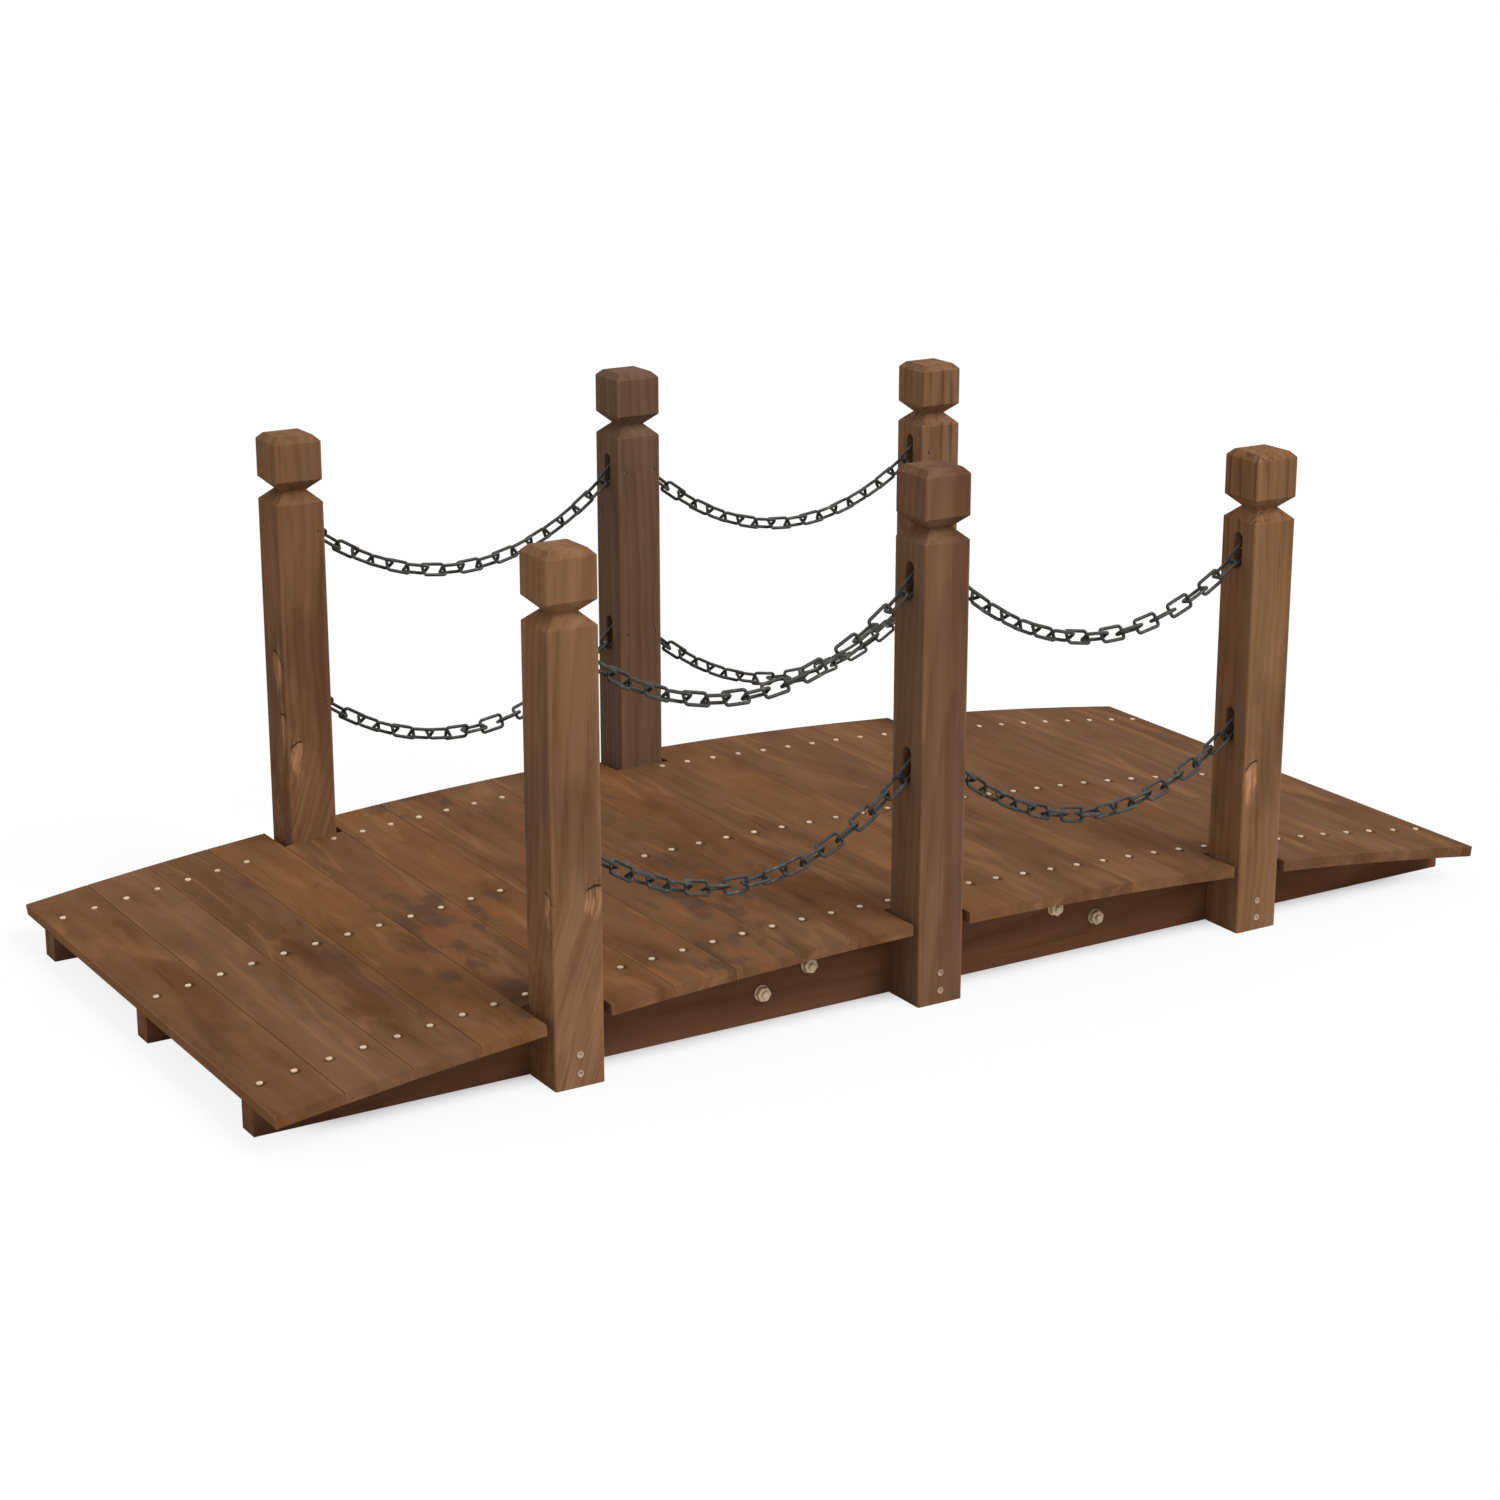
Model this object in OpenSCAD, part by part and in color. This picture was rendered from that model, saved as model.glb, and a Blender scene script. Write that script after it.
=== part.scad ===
// Low arched garden footbridge with chain railings.
// X runs along the bridge, Y across it and Z up. The origin is on the ground, under the middle.

/* [Deck] */
// Length over the stringer ends
bridge_length = 1500; // [1300:10:2000]
// Length of a full plank, across the bridge
deck_width = 686; // [560:2:900]
// Thickness of a plank
plank_thickness = 12; // [8:0.5:20]
// Gap between neighbouring planks
plank_gap = 0.4; // [0.2:0.1:4]
// Bevel along a plank's top edges
plank_bevel = 0.5; // [0.3:0.1:2.5]

/* [Stringers] */
// Height of a stringer at its ends
stringer_end_height = 29; // [20:1:60]
// Rise of a stringer's top from its ends to the middle
arch_rise = 53.5; // [20:0.5:120]
// Thickness of a stringer
stringer_thickness = 27; // [18:1:40]
// Length of the board that joins two stringer halves
splice_length = 570; // [300:10:700]
// Thickness of that board
splice_thickness = 18; // [10:1:30]
// Clear height under that board
splice_lift = 10; // [0:1:15]
// Clear height from that board's ends to the deck
splice_reveal = 8; // [2:1:12]

/* [Posts] */
// Side of a square post
post_size = 55; // [46:1:66]
// Height of the four end posts
end_post_height = 540; // [490:5:700]
// Height of the two middle posts
middle_post_height = 570; // [520:5:730]
// Height of a post's head above its neck
head_height = 49; // [30:1:70]
// Bevel around the top of a head
head_bevel = 7; // [3:0.5:12]
// Height of the groove that makes the neck
neck_height = 26; // [14:1:36]
// Depth of that groove
neck_depth = 14; // [6:0.5:18]
// Bevel along a post's upright edges
post_bevel = 1.5; // [0.5:0.1:4]

/* [Chains] */
// Diameter of a link's wire
wire = 3.8; // [3:0.1:4.6]
// Outer width of a link
link_width = 18.5; // [16:0.5:22]
// Radius of a link's corners, along the middle of its wire
link_corner = 3.2; // [2.6:0.1:5]
// Pitch that the link count is chosen for
link_pitch = 22.6; // [19:0.1:32]
// Chain length between two hooks, over their distance
sag_ratio = 1.108; // [1.03:0.002:1.14]
// Drop from a middle post's top to the upper chain's hook
hook_drop = 115; // [105:1:160]
// Drop from an end post's top to the upper chain's hook
end_hook_drop = 107; // [100:1:150]
// Height between the upper and the lower chain
chain_spacing = 196; // [120:2:210]
// Depth of a hook pin behind the post's face
hook_depth = 9; // [8:0.5:11]
// Most that a chain's links turn away from upright, between its ends
link_angle = 45; // [0:1:45]

/* [Hidden] */
$fn = 48;
plank_count = 21;
post_plank = 6;
fit_play = 0.2;
post_inset = 1;
pin_cover = 9;
pin_recess = 1.5;
early_twist_ratio = 0.62;

half_length = bridge_length / 2;
half_width = deck_width / 2;
half_post = post_size / 2;
plank_pitch = bridge_length / plank_count;
arch_radius = (half_length * half_length + arch_rise * arch_rise) / (2 * arch_rise);

post_inner = half_width - post_inset - post_size;
post_y = post_inner + half_post;
end_post_x = post_plank * plank_pitch;
outer_stringer_y = post_inner - stringer_thickness / 2;
splice_y = stringer_thickness / 2 + splice_thickness / 2;

bite = wire + fit_play;
slot_width = link_width - 4.5;
slot_height = 2 * link_width + 2;
slot_depth = hook_depth + link_width / 2 + 1;
pin_x = half_post - hook_depth;
pin_length = post_size - pin_cover;

wood_deck = [0.50, 0.27, 0.12];
wood_post = [0.46, 0.24, 0.10];
wood_stringer = [0.40, 0.20, 0.08];
chain_steel = [0.09, 0.09, 0.09];
pin_steel = [0.70, 0.62, 0.52];

// Height of the arch over the ground
function arch_z(x) = stringer_end_height + arch_rise - arch_radius + sqrt(arch_radius * arch_radius - x * x);
// Place of the seam after plank k, on the stringers' top
function seam(k) = let (x = k * plank_pitch - half_length) [x, arch_z(x)];

function sinh(x) = (exp(x) - exp(-x)) / 2;
function cosh(x) = (exp(x) + exp(-x)) / 2;
function asinh(x) = ln(x + sqrt(x * x + 1));
// Solves sinh(w) / w = ratio by halving
function hang(ratio, low = 0.001, high = 6, steps = 48) =
    let (w = (low + high) / 2)
    steps == 0 ? w
    : sinh(w) / w > ratio ? hang(ratio, low, w, steps - 1)
    : hang(ratio, w, high, steps - 1);

// Upright slab with its outline in X and Z, centred on Y
module slab(outline, thickness) {
    rotate([90, 0, 0])
        linear_extrude(thickness, center = true)
            polygon(outline);
}

module stringer_left(y) {
    middle = plank_count / 2;
    top = [for (k = [0 : floor(middle)]) seam(k)];
    crown = [[0, seam(floor(middle))[1]], [0, 0], [-half_length, 0]];
    color(wood_stringer)
        translate([0, y, 0])
            slab(concat(top, crown), stringer_thickness);
}

module stringer_right(y) {
    mirror([1, 0, 0]) stringer_left(y);
}

module splice(y) {
    height = arch_z(splice_length / 2) - splice_lift - splice_reveal;
    color(wood_stringer)
        translate([0, y, splice_lift + height / 2])
            cube([splice_length, splice_thickness, height], center = true);
}

module plank(number) {
    from = seam(number - 1);
    to = seam(number);
    run = to - from;
    place = (from + to) / 2;
    half = (norm(run) - plank_gap) / 2;
    offset_from_middle = abs(number - (plank_count + 1) / 2);
    between_posts = offset_from_middle == 0 || offset_from_middle == post_plank;
    outline = [
        [-half, 0],
        [half, 0],
        [half, plank_thickness - plank_bevel],
        [half - plank_bevel, plank_thickness],
        [plank_bevel - half, plank_thickness],
        [-half, plank_thickness - plank_bevel]
    ];
    color(wood_deck)
        translate([place[0], 0, place[1]])
            rotate([0, -atan2(run[1], run[0]), 0])
                slab(outline, between_posts ? 2 * post_inner : deck_width);
}

module post_block(height) {
    groove_top = height - head_height;
    groove_bottom = groove_top - neck_height;
    right_side = [
        [half_post, 0],
        [half_post, groove_bottom],
        [half_post - neck_depth, groove_bottom + neck_height / 2],
        [half_post, groove_top],
        [half_post, height - head_bevel],
        [half_post - head_bevel, height]
    ];
    left_side = [for (k = [len(right_side) - 1 : -1 : 0]) [-right_side[k][0], right_side[k][1]]];
    outline = concat(right_side, left_side);
    flat = half_post - post_bevel;
    plan = [
        [flat, -half_post], [half_post, -flat], [half_post, flat], [flat, half_post],
        [-flat, half_post], [-half_post, flat], [-half_post, -flat], [-flat, -half_post]
    ];
    intersection() {
        slab(outline, post_size);
        rotate([0, 0, 90]) slab(outline, post_size);
        linear_extrude(height) polygon(plan);
    }
}

// Slot and pin hole for one chain end, on the side given by 1 or -1
module hook_cut(side, height) {
    reach = slot_height - slot_width;
    translate([side * (half_post - slot_depth / 2 + 1), 0, height]) {
        cube([slot_depth + 2, slot_width, reach], center = true);
        for (end = [-1, 1])
            translate([0, 0, end * reach / 2])
                rotate([0, 90, 0])
                    cylinder(d = slot_width, h = slot_depth + 2, center = true);
    }
    translate([side * pin_x, -half_post - 1, height])
        rotate([-90, 0, 0])
            cylinder(d = wire + fit_play, h = pin_length + fit_play + 1);
}

module post(x, height, drop, sides) {
    color(wood_post)
        translate([x, post_y, 0])
            difference() {
                post_block(height);
                for (side = sides, level = [0, 1])
                    hook_cut(side, height - drop - level * chain_spacing);
            }
}

module end_post(side) {
    post(side * end_post_x, end_post_height, end_hook_drop, [-side]);
}

module middle_post() {
    post(0, middle_post_height, hook_drop, [1, -1]);
}

module near() {
    mirror([0, 1, 0]) children();
}

// One of a link's four quarter bends, in the corner given by two signs
module link_bend(x_side, y_side, run, rise) {
    turn = x_side > 0 ? (y_side > 0 ? 0 : 270) : (y_side > 0 ? 90 : 180);
    translate([x_side * run / 2, y_side * rise / 2, 0])
        rotate([0, 0, turn])
            rotate_extrude(angle = 90)
                translate([link_corner, 0])
                    circle(d = wire);
}

// An open link of round wire, lying along X, with its middle line length mm long
module link(length) {
    // Rounded, so that the bars and bends meet at the same point after export
    run = 0.02 * round(50 * (length - 2 * link_corner));
    rise = 0.02 * round(50 * (link_width - wire - 2 * link_corner));
    rotate([90, 0, 0])
        union() {
            for (side = [-1, 1]) {
                translate([-run / 2, side * (rise / 2 + link_corner), 0])
                    rotate([0, 90, 0])
                        cylinder(d = wire, h = run);
                translate([side * (run / 2 + link_corner), -rise / 2, 0])
                    rotate([-90, 0, 0])
                        cylinder(d = wire, h = rise);
                for (end = [-1, 1])
                    link_bend(side, end, run, rise);
            }
        }
}

// One chain, hung as a catenary from pin to pin: level 0 is the upper one, across is 1 on the far side
// and -1 on the near one, along is -1 in the left bay and 1 in the right one
module chain(level, across, along) {
    from = [pin_x - end_post_x, end_post_height - end_hook_drop - level * chain_spacing];
    to = [-pin_x, middle_post_height - hook_drop - level * chain_spacing];
    run = to - from;
    length = norm(run) * sag_ratio;
    w = hang(sqrt(length * length - run[1] * run[1]) / run[0]);
    curve = run[0] / (2 * w);
    low_x = (from[0] + to[0]) / 2 - curve * asinh(run[1] / (2 * curve * sinh(w)));
    start = sinh((from[0] - low_x) / curve);
    base = from[1] - curve * cosh((from[0] - low_x) / curve);
    count = 2 * floor((length + bite) / (2 * link_pitch)) + 1;
    pitch = (length + bite) / count;
    joints = [for (k = [0 : count])
        let (x = low_x + curve * asinh((k * pitch - bite / 2) / curve + start))
        [x, base + curve * cosh((x - low_x) / curve)]];
    color(chain_steel)
        for (k = [0 : count - 1]) {
            step = joints[k + 1] - joints[k];
            place = (joints[k + 1] + joints[k]) / 2;
            // Both end links stand upright in their slots. An upper chain turns to one side
            // between them and back, a lower one to both sides.
            way = along < 0 ? (k + 0.5) / count : 1 - (k + 0.5) / count;
            swing = level == 0 ? sin(180 * pow(way, early_twist_ratio)) : sin(360 * way);
            turn = across * link_angle * swing;
            mirror([along > 0 ? 1 : 0, 0, 0])
                translate([place[0], across * post_y, place[1]])
                    rotate([0, -atan2(step[1], step[0]), 0])
                        rotate([90 * k + turn, 0, 0])
                            link(pitch + bite);
        }
}

module chain_pins() {
    end_x = end_post_x - pin_x;
    color(pin_steel)
        for (across = [0, 1], along = [0, 1], level = [0, 1])
            mirror([0, across, 0]) mirror([along, 0, 0])
                for (pin = [
                    [end_x, end_post_height - end_hook_drop],
                    [pin_x, middle_post_height - hook_drop]
                ])
                    translate([pin[0], post_inner + pin_recess, pin[1] - level * chain_spacing])
                        rotate([-90, 0, 0])
                            cylinder(d = wire, h = pin_length - pin_recess);
}

stringer_left(-outer_stringer_y);  // near_stringer_left
stringer_right(-outer_stringer_y);  // near_stringer_right
stringer_left(0);  // middle_stringer_left
stringer_right(0);  // middle_stringer_right
stringer_left(outer_stringer_y);  // far_stringer_left
stringer_right(outer_stringer_y);  // far_stringer_right
splice(splice_y - outer_stringer_y);  // near_splice
splice(splice_y);  // middle_splice
splice(outer_stringer_y - splice_y);  // far_splice
plank(1);  // plank_01
plank(2);  // plank_02
plank(3);  // plank_03
plank(4);  // plank_04
plank(5);  // plank_05
plank(6);  // plank_06
plank(7);  // plank_07
plank(8);  // plank_08
plank(9);  // plank_09
plank(10);  // plank_10
plank(11);  // plank_11
plank(12);  // plank_12
plank(13);  // plank_13
plank(14);  // plank_14
plank(15);  // plank_15
plank(16);  // plank_16
plank(17);  // plank_17
plank(18);  // plank_18
plank(19);  // plank_19
plank(20);  // plank_20
plank(21);  // plank_21
near() end_post(-1);  // near_left_post
near() middle_post();  // near_middle_post
near() end_post(1);  // near_right_post
end_post(-1);  // far_left_post
middle_post();  // far_middle_post
end_post(1);  // far_right_post
chain(0, -1, -1);  // near_left_upper_chain
chain(1, -1, -1);  // near_left_lower_chain
chain(0, -1, 1);  // near_right_upper_chain
chain(1, -1, 1);  // near_right_lower_chain
chain(0, 1, -1);  // far_left_upper_chain
chain(1, 1, -1);  // far_left_lower_chain
chain(0, 1, 1);  // far_right_upper_chain
chain(1, 1, 1);  // far_right_lower_chain
chain_pins();
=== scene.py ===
"""Finishes, fasteners and stage for a low arched garden footbridge with chain railings."""
import math
from typing import NamedTuple

import bmesh
import bpy
from bpy.props import FloatProperty, FloatVectorProperty, PointerProperty
from mathutils import Matrix, Vector


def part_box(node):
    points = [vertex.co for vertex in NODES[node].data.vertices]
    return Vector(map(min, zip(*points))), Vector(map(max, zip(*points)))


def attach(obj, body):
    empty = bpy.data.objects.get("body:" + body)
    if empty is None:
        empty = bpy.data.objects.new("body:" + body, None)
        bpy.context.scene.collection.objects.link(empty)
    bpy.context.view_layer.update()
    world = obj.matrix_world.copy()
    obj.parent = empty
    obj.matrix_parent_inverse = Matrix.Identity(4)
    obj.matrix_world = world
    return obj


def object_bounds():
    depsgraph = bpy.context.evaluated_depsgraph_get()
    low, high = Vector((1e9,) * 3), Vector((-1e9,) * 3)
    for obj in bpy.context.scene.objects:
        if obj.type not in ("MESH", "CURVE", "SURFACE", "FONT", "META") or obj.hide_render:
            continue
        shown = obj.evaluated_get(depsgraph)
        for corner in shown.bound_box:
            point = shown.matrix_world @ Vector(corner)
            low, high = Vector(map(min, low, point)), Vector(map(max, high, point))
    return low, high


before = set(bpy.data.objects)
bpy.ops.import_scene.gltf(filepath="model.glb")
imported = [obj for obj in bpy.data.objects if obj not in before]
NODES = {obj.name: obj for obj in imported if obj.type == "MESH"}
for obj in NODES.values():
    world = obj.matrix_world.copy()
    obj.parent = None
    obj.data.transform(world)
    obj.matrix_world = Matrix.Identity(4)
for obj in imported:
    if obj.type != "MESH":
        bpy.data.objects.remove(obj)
CAD_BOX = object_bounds()

bl_info = {
    "name": "Garden Footbridge Finish",
    "version": (1, 0, 0),
    "blender": (4, 5, 0),
    "location": "View3D > Sidebar > Footbridge",
    "description": "Wood, chain and fastener finishes for an arched garden footbridge",
    "category": "Object",
}

PLANKS = sorted(name for name in NODES if name.startswith("plank_"))
POSTS = sorted(name for name in NODES if name.endswith("_post"))
STRINGERS = sorted(name for name in NODES if "stringer" in name or "splice" in name)
CHAINS = sorted(name for name in NODES if name.endswith("_chain"))


def middle_of(name):
    """Centre of a CAD node's box."""
    low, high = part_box(name)
    return (low + high) / 2


# Places taken from the frame, in metres: -Y is the near side, -X the left end

HALF_LENGTH = -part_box("near_stringer_left")[0].x
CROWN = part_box("near_stringer_left")[1].z
PLANK_PITCH = 2 * HALF_LENGTH / len(PLANKS)
HALF_PLANK = PLANK_PITCH / 2
POST_X = middle_of("far_right_post").x
POST_Y = middle_of("far_right_post").y
POST_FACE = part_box("far_right_post")[1].y
HALF_POST = POST_FACE - POST_Y
STRINGER_Y = middle_of("far_stringer_left").y

# Nail rows run over the stringers, a little off their middle. Nails are counted from the left end,
# and the far row lacks some beside the posts
NAIL_ROWS = {"near": -STRINGER_Y + 0.007, "middle": 0.0, "far": STRINGER_Y - 0.002}
BARE_FAR_NAILS = (8, 9, 20, 21, 32, 33)

# X and Z of the bolts that hold a splice board, and heights of the screws in a post's foot
BOLT_SPOTS = ((-0.1865, 0.0315), (-0.1295, 0.0515), (0.1880, 0.0545), (0.2435, 0.0340))
SCREW_HEIGHTS = (0.0342, 0.0144)

WHITE = (1.0, 1.0, 1.0, 1.0)


class Scar(NamedTuple):
    """A crack in a post's face, painted dark as the shade in it, with painted shade above it and a
    pale patch under it. Lengths are in metres.
    """

    place: tuple  # middle of the crack
    run: tuple  # X and Y of the direction that it runs in
    half_width: float
    slope: float  # rise per length
    drop: float  # height of the pale patch


# Directions that scars run in, X of the faces on the posts' left, and Y of the far posts' inner face
ALONG_X = (1.0, 0.0)
TOWARDS_VIEWER = (0.0, -1.0)
LEFT_POST_FLANK = -POST_X - HALF_POST
RIGHT_POST_FLANK = POST_X - HALF_POST
INNER_FACE = POST_FACE - 2 * HALF_POST

SCARS = (
    Scar((-POST_X + 0.019, -POST_FACE, 0.206), ALONG_X, 0.011, 0.10, 0.026),
    Scar((LEFT_POST_FLANK, -POST_FACE + 0.008, 0.201), TOWARDS_VIEWER, 0.009, -0.60, 0.026),
    Scar((RIGHT_POST_FLANK + 0.010, -POST_FACE, 0.196), ALONG_X, 0.010, 0.50, 0.034),
    Scar((LEFT_POST_FLANK, INNER_FACE + 0.017, 0.292), TOWARDS_VIEWER, 0.016, -0.55, 0.030),
    Scar((LEFT_POST_FLANK, INNER_FACE + 0.010, 0.226), TOWARDS_VIEWER, 0.010, 0.20, 0.036),
    Scar((LEFT_POST_FLANK + 0.010, INNER_FACE, 0.192), ALONG_X, 0.009, 0.45, 0.034),
    Scar((RIGHT_POST_FLANK + 0.034, POST_FACE, 0.260), ALONG_X, 0.013, -0.45, 0.036),
    Scar((-POST_X + HALF_POST, POST_FACE - 0.016, 0.330), TOWARDS_VIEWER, 0.012, 0.50, 0.030),
)


# Sizes and colours

def colour_setting(name, description, default):
    """A colour that a user can change."""
    return FloatVectorProperty(
        name=name, description=description, subtype="COLOR", size=3, min=0, max=1, default=default)


def length_setting(name, description, low, high, default):
    """A length that a user can change, in metres."""
    return FloatProperty(
        name=name, description=description, unit="LENGTH", min=low, max=high, default=default)


class WoodSettings(bpy.types.PropertyGroup):
    """Colours and grain of the stained softwood"""

    deck_light: colour_setting(
        "Deck light grain", "Early wood of the planks", (0.250, 0.1145, 0.0485))
    deck_dark: colour_setting(
        "Deck dark grain", "Late wood and stain in the planks", (0.0735, 0.031, 0.013))
    deck_flame: colour_setting(
        "Deck flame", "Red patches in the stain of the planks", (0.262, 0.094, 0.038))
    deck_smoke: colour_setting(
        "Deck smoke", "Grey patches in the stain of the planks", (0.085, 0.048, 0.031))
    post_light: colour_setting(
        "Post light grain", "Early wood of the posts", (0.330, 0.168, 0.080))
    post_dark: colour_setting(
        "Post dark grain", "Late wood and stain in the posts", (0.104, 0.048, 0.0225))
    post_smoke: colour_setting(
        "Post smoke", "Tint of the end posts round their scars", (0.76, 0.77, 0.82))
    post_streak: colour_setting(
        "Post streak", "Dark streaks at the tops of the right posts", (0.085, 0.034, 0.020))
    middle_tint: colour_setting(
        "Middle post tint", "Tint of the two middle posts", (0.755, 0.795, 0.885))
    middle_band: colour_setting(
        "Middle post band", "Tint of the upright band in the middle posts", (0.80, 0.755, 0.82))
    stringer_light: colour_setting(
        "Stringer light grain", "Early wood of the stringers", (0.255, 0.110, 0.051))
    stringer_dark: colour_setting(
        "Stringer dark grain", "Late wood and stain in the stringers", (0.092, 0.038, 0.017))
    ring_width: length_setting(
        "Ring width", "Distance between two growth rings", 0.002, 0.03, 0.0105)
    arch_rise: length_setting(
        "Arch rise", "Rise of the deck from its ends to the middle", 0.01, 0.2, 0.0535)


class FastenerSettings(bpy.types.PropertyGroup):
    """Sizes and colours of the nails, screws, bolts and chains"""

    nail_width: length_setting(
        "Nail head", "Diameter of a nail head", 0.003, 0.012, 0.0068)
    nail_rise: length_setting(
        "Nail height", "Thickness of a nail head", 0.0005, 0.004, 0.0017)
    screw_width: length_setting(
        "Screw head", "Diameter of a screw head at a post's foot", 0.004, 0.014, 0.0072)
    nut_width: length_setting(
        "Nut", "Width across the flats of a nut at a splice", 0.008, 0.024, 0.0145)
    nail: colour_setting(
        "Nails", "Colour of the plated nail heads", (0.80, 0.585, 0.41))
    screw: colour_setting(
        "Screws", "Colour of the duller screws, and twice that of the pins", (0.54, 0.37, 0.26))
    bolt: colour_setting(
        "Bolts", "Colour of the yellow-plated bolts, nuts and washers", (0.78, 0.58, 0.36))
    chain: colour_setting(
        "Chain", "Colour of the blackened chain", (0.037, 0.034, 0.028))


class StageSettings(bpy.types.PropertyGroup):
    """Camera and lights"""

    camera_place: FloatVectorProperty(
        name="Camera place", description="Where the camera stands",
        subtype="TRANSLATION", size=3, default=(-1.792, -2.886, 1.226))
    camera_turn: FloatVectorProperty(
        name="Camera turn", description="Which way the camera looks",
        subtype="EULER", size=3,
        default=(math.radians(73.02), 0, math.radians(-31.49)))
    lens: FloatProperty(
        name="Lens", description="Focal length on a 36 mm sensor",
        unit="CAMERA", min=20, max=200, default=76.1)
    key: FloatProperty(
        name="Key light", description="Strength of the wide, soft lamp in front, to the right",
        min=0, max=10, default=1.78)
    fill: FloatProperty(
        name="Sky light", description="Strength of the even light from all sides",
        min=0, max=2, default=0.58)


# Shader nodes

class Value:
    """A shader socket that Python expressions can use."""

    def __init__(self, finish, socket):
        self.finish = finish
        self.socket = socket

    def out(self, name):
        """Another output of the same node."""
        return Value(self.finish, self.socket.node.outputs[name])

    def math(self, operation, *others):
        """A Math node on this value and the others."""
        sockets = dict(enumerate((self, *others)))
        return self.finish.node("ShaderNodeMath", {"operation": operation}, sockets)

    def after(self, operation, number):
        """A Math node whose first input is a plain number."""
        return self.finish.node("ShaderNodeMath", {"operation": operation}, {0: number, 1: self})

    def __add__(self, other):
        return self.math("ADD", other)

    def __sub__(self, other):
        return self.math("SUBTRACT", other)

    def __mul__(self, other):
        return self.math("MULTIPLY", other)

    def __truediv__(self, other):
        return self.math("DIVIDE", other)

    def __radd__(self, other):
        return self.after("ADD", other)

    def __rsub__(self, other):
        return self.after("SUBTRACT", other)

    def __rmul__(self, other):
        return self.after("MULTIPLY", other)

    def __rtruediv__(self, other):
        return self.after("DIVIDE", other)

    def __pow__(self, other):
        return self.math("POWER", other)

    def __neg__(self):
        return self.math("MULTIPLY", -1.0)

    def __abs__(self):
        return self.math("ABSOLUTE")

    def __gt__(self, other):
        return self.math("GREATER_THAN", other)

    def __lt__(self, other):
        return self.math("LESS_THAN", other)

    def step(self, low, high):
        """Smooth step from 0 at low to 1 at high."""
        return self.finish.node(
            "ShaderNodeMapRange", {"interpolation_type": "SMOOTHSTEP"},
            {"Value": self, "From Min": low, "From Max": high})


class Finish:
    """The shader nodes of a material or of the world."""

    def __init__(self, owner):
        owner.use_nodes = True
        self.owner = owner
        self.tree = owner.node_tree
        self.tree.nodes.clear()

    def node(self, kind, settings=None, sockets=None, output=0):
        """Adds a node: its settings first, then the values or links of its sockets."""
        made = self.tree.nodes.new(kind)
        for name, setting in (settings or {}).items():
            if name == "stops":
                self.set_stops(made.color_ramp, setting)
            else:
                setattr(made, name, setting)
        for name, value in (sockets or {}).items():
            if isinstance(value, Value):
                self.tree.links.new(value.socket, made.inputs[name])
            else:
                made.inputs[name].default_value = value
        return Value(self, made.outputs[output]) if made.outputs else None

    @staticmethod
    def set_stops(ramp, stops):
        """Gives a colour ramp its stops, each a place and a colour."""
        while len(ramp.elements) < len(stops):
            ramp.elements.new(0.5)
        for element, (place, colour) in zip(ramp.elements, stops):
            element.position = place
            element.color = rgba(colour)

    def place(self):
        """X, Y and Z of the surface point, in the bridge's frame."""
        point = self.node("ShaderNodeTexCoord", output="Object")
        x = self.node("ShaderNodeSeparateXYZ", None, {0: point})
        return x, x.out("Y"), x.out("Z")

    def chance(self, seed):
        """Three random numbers from 0 to 1 for a piece."""
        noise = {"noise_dimensions": "1D"}
        colour = self.node("ShaderNodeTexWhiteNoise", noise, {"W": seed}, "Color")
        red = self.node("ShaderNodeSeparateColor", None, {0: colour})
        return red, red.out("Green"), red.out("Blue")

    def noise(self, x, y, z, detail=2.0, roughness=0.5):
        """Soft noise about zero."""
        point = self.node("ShaderNodeCombineXYZ", None, {0: x, 1: y, 2: z})
        sockets = {"Vector": point, "Scale": 1.0, "Detail": detail, "Roughness": roughness}
        return self.node("ShaderNodeTexNoise", None, sockets) - 0.5

    def mix(self, factor, first, second, blend="MIX"):
        """One colour over another."""
        return self.node(
            "ShaderNodeMix", {"data_type": "RGBA", "blend_type": blend},
            {0: factor, 6: first, 7: second}, 2)

    def in_sight(self):
        """1 for rays that show the stage: from the camera, or by way of metal or glass."""
        camera = self.node("ShaderNodeLightPath", output="Is Camera Ray")
        rays = camera + camera.out("Is Glossy Ray") + camera.out("Is Transmission Ray")
        return rays.math("MINIMUM", 1.0)

    def surface(self, colour, roughness, height, bump, depth, **constants):
        """Ends the material in one shader."""
        relief = {"Strength": bump, "Distance": depth, "Height": height}
        sockets = {"Base Color": colour, "Roughness": roughness}
        sockets["Normal"] = self.node("ShaderNodeBump", None, relief)
        sockets.update({name.replace("_", " "): value for name, value in constants.items()})
        shader = self.node("ShaderNodeBsdfPrincipled", None, sockets)
        self.node("ShaderNodeOutputMaterial", None, {"Surface": shader})
        return self.owner


def new_finish(name):
    """A finish on a new material."""
    return Finish(bpy.data.materials.new(name))


def rgba(colour, level=1.0):
    """A colour with alpha, lighter or darker by a level."""
    return (*(min(1.0, part * level) for part in colour), 1.0)


# Stained softwood

class Marks(NamedTuple):
    """How strongly the marks of the wood show. Lengths are in metres."""

    ring_width: float
    rings: float = 0.30  # dark late wood
    cloud: float = 0.45  # soft blotches
    stripe: float = 0.62  # long streaks
    waver: float = 0.022  # how far the grain wanders sideways
    waves_per_metre: float = 5.0  # how often it does
    uneven: float = 0.16  # difference from piece to piece
    veins: float = 0.0  # thin pale veins


# Where the pith lies from a piece's middle, and how far a scar pushes the rings
PITH_SIDEWAYS = 0.09
PITH_NEAREST = 0.012
PITH_DEEPER = 0.07
PITH_SLANT = 0.16
SCAR_PUSH = 0.014
SECOND_DRAW = 0.37

# Relief and shine of all wood
WOOD_SURFACE = {"bump": 0.35, "depth": 0.0008, "Specular_IOR_Level": 0.03}


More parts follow.
